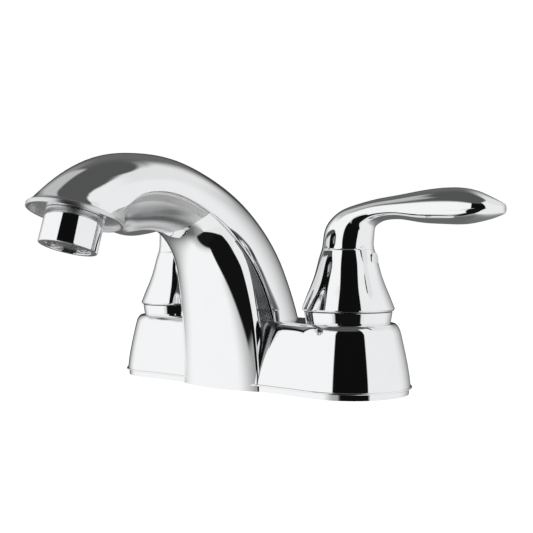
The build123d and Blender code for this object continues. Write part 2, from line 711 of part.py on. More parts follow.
def lever_section(rib):
    """Lens of one lever section, its widest line nearer to the underside."""
    outer = Vector(rib.outer[0], 0, NECK_LEVEL + rib.outer[1])
    inner = Vector(rib.inner[0], 0, NECK_LEVEL + rib.inner[1])
    across = outer - inner
    low, high = across.length * rib.low_share, across.length * (1 - rib.low_share)
    origin = inner + across * rib.low_share
    plane = Plane(origin=origin, x_dir=(0, 1, 0), z_dir=Vector(0, 1, 0).cross(across.normalized()))
    top = EllipticalCenterArc((0, 0), rib.half_width, high, start_angle=0, arc_size=180)
    bottom = EllipticalCenterArc((0, 0), rib.half_width, low, start_angle=180, arc_size=180)
    return plane * make_face(Wire([top, bottom]))


def handle():
    """Cast handle: bell, neck and lever in one piece."""
    part = bell() + loft([lever_section(rib) for rib in RIBS])
    part -= bell_cavity()
    part -= bored(BELL_RADIUS, SCREW_RADIUS + RUNNING, SCREW_LEVEL, 0)
    return part - bored(BELL_RADIUS, CAP_RADIUS + RUNNING, SCREW_LEVEL, CAP_SEAT)


def handle_insert():
    """Moulded insert between the stem's spline and the handle."""
    insert = ring(SOCKET_RADIUS - RUNNING, SPLINE_RADIUS + RUNNING, CAVITY_TOP, SOCKET_TOP)
    return insert - bored(BELL_RADIUS, SCREW_RADIUS + RUNNING, SCREW_LEVEL, 0)


def set_screw():
    """Socket screw that locks the handle on the stem."""
    start = SPLINE_RADIUS + RUNNING
    screw = bored(SCREW_LENGTH, SCREW_RADIUS, SCREW_LEVEL, start)
    socket = Pos(start + SCREW_LENGTH, 0, SCREW_LEVEL) * Rot(0, -90, 0) * extrude(
        RegularPolygon(1.0, 6, major_radius=False), 2.0
    )
    return screw - socket


def screw_cap():
    """Domed button that covers the set screw."""
    cap = bored(CAP_REACH - CAP_SEAT, CAP_RADIUS, SCREW_LEVEL, CAP_SEAT)
    return fillet(cap.edges().group_by(Axis.X)[-1], CAP_ROUND)


ON_VALVE = {
    "valve_body": valve_body,
    "mounting_nut": mounting_nut,
    "cartridge_housing": cartridge_housing,
    "seat_seal": seat_seal,
    "fixed_disc": lambda: ceramic_disc(DISC_LEVEL, DISC_RADIUS),
    "moving_disc": lambda: Rot(0, 0, 90) * ceramic_disc(UPPER_DISC_LEVEL, DISC_RADIUS),
    "stem": valve_stem,
    "stem_rings": stem_rings,
    "bonnet_nut": bonnet_nut,
    "collar": collar,
}
ON_HANDLE = {
    "handle": handle,
    "handle_insert": handle_insert,
    "set_screw": set_screw,
    "screw_cap": screw_cap,
}
IN_MIDDLE = {
    "faucet_body": faucet_body,
    "deck_plate": deck_plate,
    "mixing_tee": mixing_tee,
    "spout_tube": spout_tube,
    "outlet_elbow": outlet_elbow,
    "aerator_housing": aerator_housing,
    "aerator_screen": aerator_screen,
    "flow_insert": flow_insert,
    "aerator_washer": aerator_washer,
}


def write(name, part):
    """Write one piece under its own name."""
    export_step(part, os.path.join("parts", name + ".step"))


def write_pair(name, part):
    """Write a piece for the cold side and its mirror image for the hot side."""
    write("cold_" + name, part)
    write("hot_" + name, mirror(part, about=Plane.YZ))


os.makedirs("parts", exist_ok=True)
for piece, build in IN_MIDDLE.items():
    write(piece, build())
write_pair("crossover_tube", crossover_tube())
for piece, build in ON_VALVE.items():
    write_pair(piece, Pos(HALF_SPACING, 0, 0) * build())
for piece, build in ON_HANDLE.items():
    write_pair(piece, Pos(HALF_SPACING, 0, 0) * aimed(build(), LEVER_AZIMUTH))
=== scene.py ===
"""Looks of the chrome centerset bathroom faucet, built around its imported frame."""

import json
import logging
import math
from dataclasses import dataclass, field
from enum import Enum, IntEnum

import bmesh
import bpy
import numpy as np
from mathutils import Matrix, Vector

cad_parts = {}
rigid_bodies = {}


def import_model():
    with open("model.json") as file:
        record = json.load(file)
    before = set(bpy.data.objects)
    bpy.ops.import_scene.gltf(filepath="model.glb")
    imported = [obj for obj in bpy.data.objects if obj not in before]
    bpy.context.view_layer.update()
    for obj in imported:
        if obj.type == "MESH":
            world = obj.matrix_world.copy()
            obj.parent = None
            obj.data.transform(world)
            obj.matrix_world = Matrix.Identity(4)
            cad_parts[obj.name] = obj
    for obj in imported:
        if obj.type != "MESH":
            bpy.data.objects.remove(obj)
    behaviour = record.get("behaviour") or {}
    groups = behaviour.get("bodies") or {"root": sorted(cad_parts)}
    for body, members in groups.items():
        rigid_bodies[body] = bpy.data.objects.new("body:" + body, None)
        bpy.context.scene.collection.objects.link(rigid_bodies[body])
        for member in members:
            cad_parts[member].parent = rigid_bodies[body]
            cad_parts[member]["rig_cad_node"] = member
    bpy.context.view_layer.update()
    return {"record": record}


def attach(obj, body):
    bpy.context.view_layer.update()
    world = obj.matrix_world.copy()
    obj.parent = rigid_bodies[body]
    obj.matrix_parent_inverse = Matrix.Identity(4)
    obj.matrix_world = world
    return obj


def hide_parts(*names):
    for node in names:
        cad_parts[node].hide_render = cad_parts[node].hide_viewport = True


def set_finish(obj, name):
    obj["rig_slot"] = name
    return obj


LOG = logging.getLogger("faucet")

MM = 0.001
MERGE_DISTANCE = 0.004
SHARP_ANGLE = math.radians(38)
CASTING = "casting"
PLATE_SLOT = "chrome_plate"

# Spans of the small roundings of the spout's section.
LEDGE_STEPS = 4
NOOK_STEPS = 3
CORNER_STEPS = 5
# Largest shares of an edge that a rounding takes, of the crease's depth that the ribbon takes, and
# of the cap's rise at which its ledge starts.
LEDGE_SHARE = 0.42
RIBBON_SHARE = 0.75
RISE_SHARE = 0.5
# Spans of the rounded edges of the rim and the aerator.
EDGE_STEPS = 4
# The base's ring has this many lines and arcs on each side of the faucet.
PARTS_PER_SIDE = 8

Outline = list[Vector]


class Side(Enum):
    """The two sides of the faucet, with the sign of their X."""

    COLD = 1
    HOT = -1

    @property
    def prefix(self) -> str:
        """Start of the names of the CAD nodes on this side."""
        return self.name.lower() + "_"


class Zone(IntEnum):
    """Parts of the casting's surface, as numbers of its material slots; all but the first paint shade or
    a highlight into the chrome's colour.
    """

    POLISHED = 0
    # Rougher chrome with a darker colour: painted shade under the arch's belly and in the outlet's rim.
    SOFT = 1
    # Dark chrome: painted shade in the recess beside the ribbon and in the fillet beside the spout's
    # foot.
    SHADED = 2
    # Pale half-metallic chrome: painted highlight on the ribbon side under the arch.
    PALE = 3


class SmoothCurve:
    """Natural cubic curve through rows of values that stand at rising places."""

    def __init__(self, places: list[float], rows: list[list[float]]) -> None:
        """Solve the curve's second derivatives.

        Args:
            places: rising numbers, one for each row.
            rows: the values that the curve passes through.
        """
        self.x = np.array(places, float)
        self.y = np.array(rows, float)
        count = len(places)
        gaps = np.diff(self.x)
        matrix = np.eye(count)
        right = np.zeros_like(self.y)
        for i in range(1, count - 1):
            matrix[i, i - 1:i + 2] = (gaps[i - 1], 2 * (gaps[i - 1] + gaps[i]), gaps[i])
            slopes = np.diff(self.y[i - 1:i + 2], axis=0) / gaps[i - 1:i + 1, None]
            right[i] = 6 * (slopes[1] - slopes[0])
        self.bend = np.linalg.solve(matrix, right)

    def at(self, place: float) -> np.ndarray:
        """Row of values at a place.

        Args:
            place: a number between the first and the last place.

        Returns:
            The interpolated row.
        """
        i = int(np.clip(np.searchsorted(self.x, place) - 1, 0, len(self.x) - 2))
        gap = self.x[i + 1] - self.x[i]
        before, after = place - self.x[i], self.x[i + 1] - place
        curved = (self.bend[i] * after ** 3 + self.bend[i + 1] * before ** 3) / (6 * gap)
        start = self.y[i] / gap - self.bend[i] * gap / 6
        end = self.y[i + 1] / gap - self.bend[i + 1] * gap / 6
        return curved + start * after + end * before


class RingSkin:
    """A skin in millimetres that grows ring by ring, with the same number of points in each."""

    def __init__(self, outline: Outline) -> None:
        """Start the skin.

        Args:
            outline: points of the first ring, in order.
        """
        self.mesh = bmesh.new()
        made = bmesh.ops.create_circle(self.mesh, cap_ends=False, segments=len(outline), radius=1.0)
        self.ring: list[bmesh.types.BMVert] = made["verts"]
        self._place(outline)

    def mark(self, zones: list[int]) -> None:
        """Give the faces of the last band their material slots.

        Args:
            zones: one number for each span of the ring, in order.
        """
        for edge, zone in zip(self._ring_edges(), zones, strict=True):
            edge.link_faces[0].material_index = zone

    def _place(self, outline: Outline) -> None:
        """Move the live ring onto an outline."""
        for vertex, point in zip(self.ring, outline, strict=True):
            vertex.co = point

    def _ring_edges(self) -> list[bmesh.types.BMEdge]:
        """Edges of the live ring, in order."""
        followers = self.ring[1:] + self.ring[:1]
        return [self.mesh.edges.get((a, b)) for a, b in zip(self.ring, followers)]

    def grow(self, outline: Outline) -> "RingSkin":
        """Extrude the live ring and move the new one onto an outline.

        Args:
            outline: points of the next ring, matched one to one with the last.

        Returns:
            The skin itself.
        """
        made = bmesh.ops.extrude_edge_only(self.mesh, edges=self._ring_edges())
        fresh = {part for part in made["geom"] if isinstance(part, bmesh.types.BMVert)}
        grown = []
        for vertex in self.ring:
            ahead = [edge.other_vert(vertex) for edge in vertex.link_edges]
            grown.append(next(other for other in ahead if other in fresh))
        self.ring = grown
        self._place(outline)
        return self

    def close(self) -> "RingSkin":
        """Close the live ring with one face."""
        bmesh.ops.contextual_create(self.mesh, geom=self._ring_edges())
        return self

    def move(self, matrix: Matrix) -> "RingSkin":
        """Carry the whole skin by a matrix.

        Args:
            matrix: the matrix, in millimetres.

        Returns:
            The skin itself.
        """
        bmesh.ops.transform(self.mesh, matrix=matrix, verts=self.mesh.verts)
        return self

    def finish(self, name: str, body: str, slot: str, nodes: list[str]) -> bpy.types.Object:
        """Turn the skin into a piece of the object, and free it.

        Args:
            name: the piece's name.
            body: the CAD body that it rides on.
            slot: the record's material slot.
            nodes: the CAD nodes that it stands for.

        Returns:
            The new object.
        """
        mesh = self.mesh
        bmesh.ops.remove_doubles(mesh, verts=mesh.verts, dist=MERGE_DISTANCE)
        bmesh.ops.recalc_face_normals(mesh, faces=mesh.faces)
        for face in mesh.faces:
            face.smooth = True
        for edge in mesh.edges:
            edge.smooth = edge.calc_face_angle(0.0) < SHARP_ANGLE
        bmesh.ops.scale(mesh, vec=(MM, MM, MM), verts=mesh.verts)
        data = bpy.data.meshes.new(name)
        mesh.to_mesh(data)
        mesh.free()
        piece = bpy.data.objects.new(name, data)
        bpy.context.scene.collection.objects.link(piece)
        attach(piece, body)
        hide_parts(*nodes)
        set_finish(piece, slot)
        LOG.info("%s: %d faces, stands for %s", name, len(data.polygons), ", ".join(nodes))
        return piece


def rounded(before: Vector, corner: Vector, after: Vector, reach: float, steps: int) -> Outline:
    """Points that round a corner.

    Args:
        before: a point on the line that comes in.
        corner: the corner itself.
        after: a point on the line that goes out.
        reach: how far from the corner the rounding starts and ends.
        steps: number of spans.

    Returns:
        The points, from the incoming to the outgoing line.
    """
    start = corner + (before - corner).normalized() * reach
    end = corner + (after - corner).normalized() * reach
    points = []
    for i in range(steps + 1):
        share = i / steps
        points.append(start * (1 - share) ** 2 + corner * 2 * share * (1 - share) + end * share ** 2)
    return points


def circle(radius: float, height: float, count: int) -> Outline:
    """Level circle round Z.

    Args:
        radius: its radius.
        height: its height.
        count: number of points.

    Returns:
        The points, from +X and turning left.
    """
    turns = (2 * math.pi * i / count for i in range(count))
    return [Vector((radius * math.cos(a), radius * math.sin(a), height)) for a in turns]


def turned(profile: list[tuple[float, float]], count: int) -> RingSkin:
    """Skin turned round Z.

    Args:
        profile: (radius, height) of each ring, in order.
        count: number of points of a ring.

    Returns:
        The skin, open at its first and last ring.
    """
    skin = RingSkin(circle(*profile[0], count))
    for radius, height in profile[1:]:
        skin.grow(circle(radius, height, count))
    return skin


def edge_arc(radius: float, height: float, edge: float, steps: int) -> list[tuple[float, float]]:
    """Profile points that round an outer edge.

    Args:
        radius: radius outside the edge.
        height: height above the edge.
        edge: radius of the rounding.
        steps: number of spans.

    Returns:
        (radius, height) of the points after the first one.
    """
    turns = np.linspace(0, math.pi / 2, steps + 1)[1:]
    return [(radius - edge + edge * math.cos(a), height - edge + edge * math.sin(a)) for a in turns]


def path_places(rows: list[list[float]]) -> list[float]:
    """Places of rows along their path.

    Args:
        rows: rows that start with two points of two numbers.

    Returns:
        The mean length of both points' paths up to each row.
    """
    places = [0.0]
    for a, b in zip(rows, rows[1:]):
        places.append(places[-1] + (math.dist(a[:2], b[:2]) + math.dist(a[2:4], b[2:4])) / 2)
    return places


# Finishes


class Nodes:
    """Shorthand for the nodes of one material or world."""

    def __init__(self, tree: bpy.types.NodeTree) -> None:
        """Empty the tree and keep it."""
        self.tree = tree
        tree.nodes.clear()

    def add(self, kind: str, inputs: dict | None = None, **settings: object) -> bpy.types.Node:
        """Add a node.

        Args:
            kind: the node's type without its ShaderNode prefix.
            inputs: values or sockets for its inputs, by name or number.
            settings: properties of the node.

        Returns:
            The node.
        """
        node = self.tree.nodes.new("ShaderNode" + kind)
        for name, value in settings.items():
            setattr(node, name, value)
        for name, value in (inputs or {}).items():
            if isinstance(value, bpy.types.NodeSocket):
                self.tree.links.new(value, node.inputs[name])
            else:
                node.inputs[name].default_value = value
        return node

    def math(self, operation: str, *values: object) -> bpy.types.NodeSocket:
        """Result of a Math node on numbers or sockets.

        Args:
            operation: the node's operation.
            values: its inputs, in order.

        Returns:
            The output socket.
        """
        return self.add("Math", dict(enumerate(values)), operation=operation).outputs[0]

    def noise(self, place: bpy.types.NodeSocket, size: float, detail: float) -> bpy.types.NodeSocket:
        """Noise with patches of a size in metres."""
        return self.add("TexNoise", {"Vector": place, "Scale": 1 / size, "Detail": detail}).outputs["Fac"]

    def smooth(self, value: bpy.types.NodeSocket, low: float, high: float) -> bpy.types.NodeSocket:
        """Smooth step of a socket from 0 at low to 1 at high."""
        inputs = {"Value": value, "From Min": low, "From Max": high}
        return self.add("MapRange", inputs, interpolation_type="SMOOTHSTEP").outputs[0]


@dataclass(frozen=True)
class Finish:
    """A surface with a mottled colour and roughness and a fine relief.

    Sizes of the pattern are in metres, and noise runs on Object coordinates.
    """

    name: str
    slot: str
    color: tuple[float, float, float]
    shade: tuple[float, float, float]
    roughness: float
    roughness_swing: float = 0.06
    metallic: float = 0.0
    grain: float = 0.002
    mottle_ratio: float = 8.0
    mottle_edge: tuple[float, float] = (0.35, 0.65)
    mottle_detail: float = 3.0
    grain_detail: float = 2.0
    relief: float = 0.00001
    stretch: tuple[float, float, float] = (1.0, 1.0, 1.0)
    coat: float = 0.0
    specular: float = 0.5

    def material(self) -> bpy.types.Material:
        """Build the procedural material.

        Returns:
            The material.
        """
        made = bpy.data.materials.new(self.name)
        made.use_nodes = True
        nodes = Nodes(made.node_tree)
        shader = self.shader(nodes, nodes.add("TexCoord").outputs["Object"])
        nodes.add("OutputMaterial", {"Surface": shader.outputs[0]})
        return made

    def shader(self, nodes: Nodes, place: bpy.types.NodeSocket) -> bpy.types.Node:
        """Build the surface.

        Args:
            nodes: the material's nodes.
            place: socket with the Object coordinates.

        Returns:
            The Principled node.
        """
        mapped = nodes.add("Mapping", {"Vector": place, "Scale": self.stretch}).outputs[0]
        mottle = nodes.noise(mapped, self.grain * self.mottle_ratio, self.mottle_detail)
        fine = nodes.noise(mapped, self.grain, self.grain_detail)
        return nodes.add("BsdfPrincipled", {
            "Base Color": self.mixed(nodes, nodes.smooth(mottle, *self.mottle_edge)),
            "Metallic": self.metallic, "Roughness": self.swinging(nodes, fine),
            "Normal": self.bumped(nodes, fine, self.relief),
            "Coat Weight": self.coat, "Specular IOR Level": self.specular,
        })

    def mixed(self, nodes: Nodes, share: bpy.types.NodeSocket) -> bpy.types.NodeSocket:
        """Colour between the two of the finish."""
        inputs = {"Factor": share, 6: (*self.color, 1), 7: (*self.shade, 1)}
        return nodes.add("Mix", inputs, data_type="RGBA").outputs[2]

    def swinging(self, nodes: Nodes, noise: bpy.types.NodeSocket) -> bpy.types.NodeSocket:
        """Roughness that swings with a noise."""
        lowest = self.roughness - self.roughness_swing / 2
        return nodes.math("MULTIPLY_ADD", noise, self.roughness_swing, lowest)

    @staticmethod
    def bumped(nodes: Nodes, noise: bpy.types.NodeSocket, depth: float) -> bpy.types.NodeSocket:
        """Normal bent by a noise of a depth in metres."""
        return nodes.add("Bump", {"Height": noise, "Distance": depth, "Strength": 1.0}).outputs[0]


@dataclass(frozen=True)
class Chrome(Finish):
    """Polished plate: a mirror with the faint waviness of buffed metal."""

    roughness_swing: float = 0.03
    metallic: float = 1.0
    grain: float = 0.012
    wave: float = 0.03
    wave_depth: float = 0.000002
    wave_detail: float = 1.0

    def shader(self, nodes: Nodes, place: bpy.types.NodeSocket) -> bpy.types.Node:
        """Build the surface, from and to what Finish.shader names."""
        haze = nodes.noise(place, self.grain, self.mottle_detail)
        wave = nodes.noise(place, self.wave, self.wave_detail)
        return nodes.add("BsdfPrincipled", {
            "Base Color": self.mixed(nodes, haze), "Metallic": self.metallic,
            "Roughness": self.swinging(nodes, haze), "Normal": self.bumped(nodes, wave, self.wave_depth),
        })


# The casting's extra chromes: the darker colours are painted shade, the pale half-metallic one is a
# painted highlight, and the soft one is also rougher.
PAINTED_LIGHT_CHROMES = {
    Zone.SOFT: Chrome("soft_chrome", PLATE_SLOT, (0.78, 0.785, 0.79), (0.70, 0.71, 0.72), 0.30),
    Zone.SHADED: Chrome("shaded_chrome", PLATE_SLOT, (0.34, 0.35, 0.355), (0.28, 0.29, 0.295), 0.24),
    Zone.PALE: Chrome("pale_chrome", PLATE_SLOT, (0.97, 0.97, 0.97), (0.94, 0.94, 0.94), 0.40,
                      metallic=0.45),
}
FINISHES = [
    Chrome("polished_chrome", PLATE_SLOT, (0.90, 0.905, 0.91), (0.86, 0.87, 0.88), 0.035,
           roughness_swing=0.02),
    Finish("machined_brass", "brass_body", (0.72, 0.54, 0.25), (0.60, 0.43, 0.18), 0.28,
           metallic=1.0, grain=0.0008, stretch=(1.0, 1.0, 12.0)),
    Finish("drawn_copper", "copper_tube", (0.74, 0.42, 0.29), (0.62, 0.32, 0.22), 0.30,
           metallic=1.0, grain=0.001),
    Finish("black_moulding", "dark_plastic", (0.030, 0.031, 0.034), (0.045, 0.046, 0.05), 0.48,
           grain=0.0006, relief=0.00003),
    Finish("white_moulding", "light_plastic", (0.80, 0.80, 0.78), (0.74, 0.74, 0.71), 0.38,
           grain=0.0009, relief=0.00001),
    Finish("seal_rubber", "seal_rubber", (0.022, 0.022, 0.023), (0.035, 0.035, 0.035), 0.62,
           grain=0.0007, relief=0.00002, specular=0.35),
    Finish("lapped_ceramic", "ceramic", (0.88, 0.87, 0.83), (0.82, 0.81, 0.77), 0.16,
           grain=0.0012, coat=0.4),
    Finish("stainless_steel", "steel", (0.60, 0.61, 0.62), (0.52, 0.53, 0.54), 0.30,
           metallic=1.0, grain=0.0006),
]


# Base of the casting


@dataclass
class Base:
    """Pedestal: two lobes and a bar, with foot, lip, tapered side and rounded top."""

    half_spacing: float = 50.8
    height: float = 29.0
    lobe_radius: float = 25.7
    lobe_taper: float = 4.9
    bar_half_depth: float = 24.8
    bar_taper: float = 7.4
    lip_reach: float = 0.7
    lip_height: float = 0.8
    foot_height: float = 2.4
    foot_inset: float = 0.6
    waist_fillet: float = 40.0
    neck_half_width: float = 22.2
    neck_fillet: float = 5.6
    lobe_round: float = 2.0
    bar_round: float = 3.6
    bar_pull: float = 2.6
    taper_power: float = 1.35
    sharp_fillet: float = 0.4
    wall: float = 3.0
    roof: float = 3.5
    steps: int = 14
    lip_rings: int = 7
    side_rings: int = 26
    top_rings: int = 14

    def outline(self, level: float, lobe: float, depth: float, fillet: float, neck: float,
                waist: float) -> Outline:
        """Plan of the base at a height, with the same points at every height.

        Args:
            level: the height.
            lobe: radius of the two lobes.
            depth: half the depth of the bar.
            fillet: radius of the blend between the bar and the spout's foot.
            neck: half width of the spout's foot.
            waist: radius between bar and lobe.

        Returns:
            The ring, which starts at the middle of the front.
        """
        waist_x = self.half_spacing - math.sqrt((lobe + waist) ** 2 - (depth + waist) ** 2)
        swing = math.atan2(depth + waist, self.half_spacing - waist_x)
        front = depth + fillet

        def arc(x: float, y: float, radius: float, start: float, end: float) -> Outline:
            """Points of an arc, without its first one."""
            turns = (start + (end - start) * (i + 1) / self.steps for i in range(self.steps))
            return [Vector((x + radius * math.cos(a), y + radius * math.sin(a), level)) for a in turns]

        def line(x0: float, y0: float, x1: float, y1: float) -> Outline:
            """Points of a line, without its first one."""
            shares = ((i + 1) / self.steps for i in range(self.steps))
            return [Vector((x0 + (x1 - x0) * s, y0 + (y1 - y0) * s, level)) for s in shares]

        front_half = line(0, -front, neck, -front)
        front_half += arc(neck + fillet, -front, fillet, math.pi, math.pi / 2)
        front_half += line(neck + fillet, -depth, waist_x, -depth)
        front_half += arc(waist_x, -depth - waist, waist, math.pi / 2, swing)
        end = front_half[-1]
        lobe_start = math.atan2(end.y, end.x - self.half_spacing)
        front_half += arc(self.half_spacing, 0, lobe, lobe_start, 0)
        back_half = [Vector((p.x, -p.y, p.z)) for p in front_half[-2:self.steps * 3 - 2:-1]]
        back_half += line(waist_x, depth, 0, depth)
        right = front_half + back_half
        left = [Vector((-p.x, p.y, p.z)) for p in right[-2::-1]]
        return right + left + [Vector((0, -front, level))]

    def section(self, level: float, inset: float = 0.0, lobe_round: float = 0.0,
                bar_round: float = 0.0) -> Outline:
        """Plan of the tapered side at a height.

        Args:
            level: the height.
            inset: how far a wall moves it inwards.
            lobe_round: what the rounded top edge takes off the lobes.
            bar_round: what it takes off the bar.

        Returns:
            The ring.
        """
        lip_top = self.foot_height + self.lip_height
        share = ((level - lip_top) / (self.height - lip_top)) ** self.taper_power
        lobe = self.lobe_radius - self.lobe_taper * share - inset - lobe_round
        depth = self.bar_half_depth - self.bar_taper * share - inset - bar_round
        fillet = self.sharp_fillet + (self.neck_fillet - self.sharp_fillet) * share
        return self.outline(level, lobe, depth, fillet, self.neck_half_width - inset,
                            self.waist_fillet + inset)

    def zones(self) -> list[int]:
        """Material slots of the spans of a ring: the fillet beside the spout's foot gets the dark chrome
        of painted shade.

        Returns:
            One slot for each span.
        """
        count = 2 * PARTS_PER_SIDE * self.steps
        first_mirrored = count - 2
        # Spans of the fillet beside the spout's foot, on both sides, painted darker as shade.
        right = range(self.steps - 1, 2 * self.steps - 1)
        shaded = {*right, *(first_mirrored - 1 - i for i in right)}
        return [int(Zone.SHADED if i in shaded else Zone.POLISHED) for i in range(count)]

    def flat(self, level: float, reach: float) -> Outline:
        """Plan of the foot or lip.

        Args:
            level: the height.
            reach: how far it is moved outwards.

        Returns:
            The ring.
        """
        return self.outline(level, self.lobe_radius + reach, self.bar_half_depth + reach,
                            self.sharp_fillet, self.neck_half_width, self.waist_fillet)

    def skin(self) -> RingSkin:
        """Grow the base from the cavity over the foot to the top.

        Returns:
            The closed skin.
        """
        lip_top = self.foot_height + self.lip_height
        shoulder = self.height - self.bar_round
        roof = self.height - self.roof
        skin = RingSkin(self.section(roof, self.wall))
        skin.close()
        skin.grow(self.section(lip_top, self.wall))
        skin.grow(self.flat(0, -self.wall))
        skin.grow(self.flat(0, -self.foot_inset))
        skin.grow(self.flat(self.foot_height, -self.foot_inset))
        for angle in np.linspace(-90, 90, self.lip_rings):
            rise = math.sin(math.radians(angle))
            bulge = math.cos(math.radians(angle)) - 1
            level = self.foot_height + self.lip_height * (1 + rise) / 2
            skin.grow(self.flat(level, self.lip_reach + bulge * self.lip_height / 2))
        for level in np.linspace(lip_top, shoulder, self.side_rings):
            skin.grow(self.section(float(level)))
            skin.mark(self.zones())
        for angle in np.linspace(0, 90, self.top_rings)[1:]:
            shrink = 1 - math.cos(math.radians(angle))
            level = shoulder + self.bar_round * math.sin(math.radians(angle))
            skin.grow(self.section(level, 0, self.lobe_round * shrink, self.bar_pull * shrink))
            skin.mark(self.zones())
        return skin.close()


# Spout of the casting


@dataclass(frozen=True)
class Station:
    """One section of the spout, as shares in hundredths and as sizes from the belly."""

    belly: tuple[float, float]
    crown: tuple[float, float]
    corner_depth: float
    corner_width: float
    crease_depth: float
    cap_width: float


@dataclass
class Spout:
    """Column and arch: an outer cap over an inner band, down to the round outlet."""

    reach: float = 100.9
    outlet_height: float = 70.8
    height: float = 97.6
    tilt: float = 16.0
    rim_radius: float = 18.45
    rim_swing: float = 62.0
    rim_thickness: float = 1.2
    rim_edge: float = 0.3
    rim_seat: float = 0.05
    lip_width: float = 1.3
    lip_bevel: float = 0.09
    recess: float = 1.0
    floor: float = 3.0
    nipple_hole: float = 10.03
    ledge: float = 1.1
    ribbon: float = 3.1
    corner_reach: float = 0.9
    smallest_reach: float = 0.01
    foot_front: float = -24.0
    plate_top: float = 2.6
    ring_gap: float = 1.7
    cap_steps: int = 34
    belly_steps: int = 18
    panel_steps: int = 6
    # Painted light: past station arch_start the arch's underside gets painted highlight and painted
    # shade, and up to station panel_top the recess beside the ribbon gets painted shade.
    arch_start: float = 6.8
    panel_top: float = 5.0
    stations: list[Station] = field(default_factory=lambda: [
        Station((-29.3, 0.0), (23.6, 0.0), 5.3, 23.0, 16.0, 24.2),
        Station((-30.3, 15.4), (22.4, 15.4), 5.3, 22.2, 16.4, 24.0),
        Station((-32.2, 30.2), (18.5, 29.7), 5.7, 21.4, 16.8, 23.6),
        Station((-35.2, 43.0), (12.4, 45.0), 6.2, 20.4, 15.2, 22.8),
        Station((-39.2, 53.8), (4.4, 60.2), 6.8, 19.2, 12.4, 21.8),
        Station((-44.6, 61.5), (-7.5, 74.2), 7.0, 18.2, 9.8, 21.0),
        Station((-50.6, 66.1), (-23.1, 86.0), 6.8, 17.4, 8.9, 20.4),
        Station((-56.6, 68.0), (-40.3, 94.0), 7.2, 16.8, 9.8, 20.0),
        Station((-63.6, 68.6), (-57.6, 98.7), 8.8, 16.4, 12.0, 19.7),
        Station((-71.4, 68.0), (-75.4, 99.1), 11.0, 16.2, 14.4, 19.4),
        Station((-78.2, 67.0), (-91.8, 95.7), 12.0, 16.2, 14.6, 19.0),
        Station((-80.6, 67.4), (-105.6, 88.0), 11.2, 16.2, 13.4, 18.7),
    ])

    @property
    def half_points(self) -> int:
        """Number of points of a half section."""
        roundings = sum(steps + 1 for steps in (LEDGE_STEPS, NOOK_STEPS, CORNER_STEPS, CORNER_STEPS))
        return self.cap_steps + roundings + self.panel_steps - 1 + self.belly_steps

    def outlet(self) -> Matrix:
        """Matrix of the outlet: its Z points out along the outlet axis."""
        turn = Matrix.Rotation(math.radians(180 - self.tilt), 4, "X")
        return Matrix.Translation((0, -self.reach, self.outlet_height)) @ turn

    def rows(self) -> list[list[float]]:
        """Numbers of each station in millimetres, with the rim as the last one.

        Returns:
            Rows of belly and crown (Y, Z), corner depth and width, crease depth, cap width and
            the share of the round section.
        """
        rows = []
        for s in self.stations:
            points = [value * unit / 100 for pair in (s.belly, s.crown)
                      for value, unit in zip(pair, (self.reach, self.height))]
            rows.append([*points, s.corner_depth, s.corner_width, s.crease_depth, s.cap_width, 0.0])
        matrix, r = self.outlet(), self.rim_radius
        belly, crown = matrix @ Vector((0, -r, 0)), matrix @ Vector((0, r, 0))
        if belly.y < crown.y:
            belly, crown = crown, belly
        swing = math.radians(self.rim_swing)
        rows.append([belly.y, belly.z, crown.y, crown.z, r * (1 - math.cos(swing)),
                     r * math.sin(swing), r, r, 1.0])
        return rows

    def half_section(self, tall: float, row: np.ndarray) -> list[Vector]:
        """Right half of a section, from the crown to the belly.

        Args:
            tall: distance from belly to crown.
            row: the numbers of the station after its two points.

        Returns:
            Points with X across and Y from the belly towards the crown.
        """
        corner_y, corner_x, crease_y, width, roundness = (float(v) for v in row)
        side_x = width - self.ledge * (1 - roundness)
        ribbon_y = corner_y + min(self.ribbon, (crease_y - corner_y) * RIBBON_SHARE)
        cap_rise = tall - crease_y
        corner, side = Vector((corner_x, corner_y)), Vector((side_x, ribbon_y))
        inner, outer = Vector((side_x, crease_y)), Vector((width, crease_y))
        ledge_reach = max(LEDGE_SHARE * (width - side_x), self.smallest_reach)
        shortest = min(crease_y - ribbon_y, (side - corner).length)
        panel_reach = min(self.corner_reach, LEDGE_SHARE * shortest)
        start = math.asin(min(RISE_SHARE, ledge_reach / cap_rise))
        points = []
        for i in range(self.cap_steps):
            angle = math.pi / 2 + (start - math.pi / 2) * i / self.cap_steps
            points.append(Vector((width * math.cos(angle), crease_y + cap_rise * math.sin(angle))))
        points += rounded(outer + Vector((0, 1)), outer, inner, ledge_reach, LEDGE_STEPS)
        points += rounded(outer, inner, side, min(ledge_reach, panel_reach), NOOK_STEPS)
        panel_end = side + (inner - side).normalized() * panel_reach
        panel_start = points[-1]
        points += [panel_start.lerp(panel_end, (i + 1) / self.panel_steps)
                   for i in range(self.panel_steps - 1)]
        points += rounded(inner, side, corner, panel_reach, CORNER_STEPS)
        radius = (corner_x ** 2 + corner_y ** 2) / (2 * corner_y)
        swing = math.atan2(corner_x, radius - corner_y)
        near = swing * (1 - panel_reach / (radius * swing))
        near_point = Vector((radius * math.sin(near), radius * (1 - math.cos(near))))
        points += rounded(side, corner, near_point, panel_reach, CORNER_STEPS)
        for i in range(1, self.belly_steps + 1):
            angle = near * (1 - i / self.belly_steps)
            points.append(Vector((radius * math.sin(angle), radius * (1 - math.cos(angle)))))
        return self.towards_circle(points, tall, roundness)

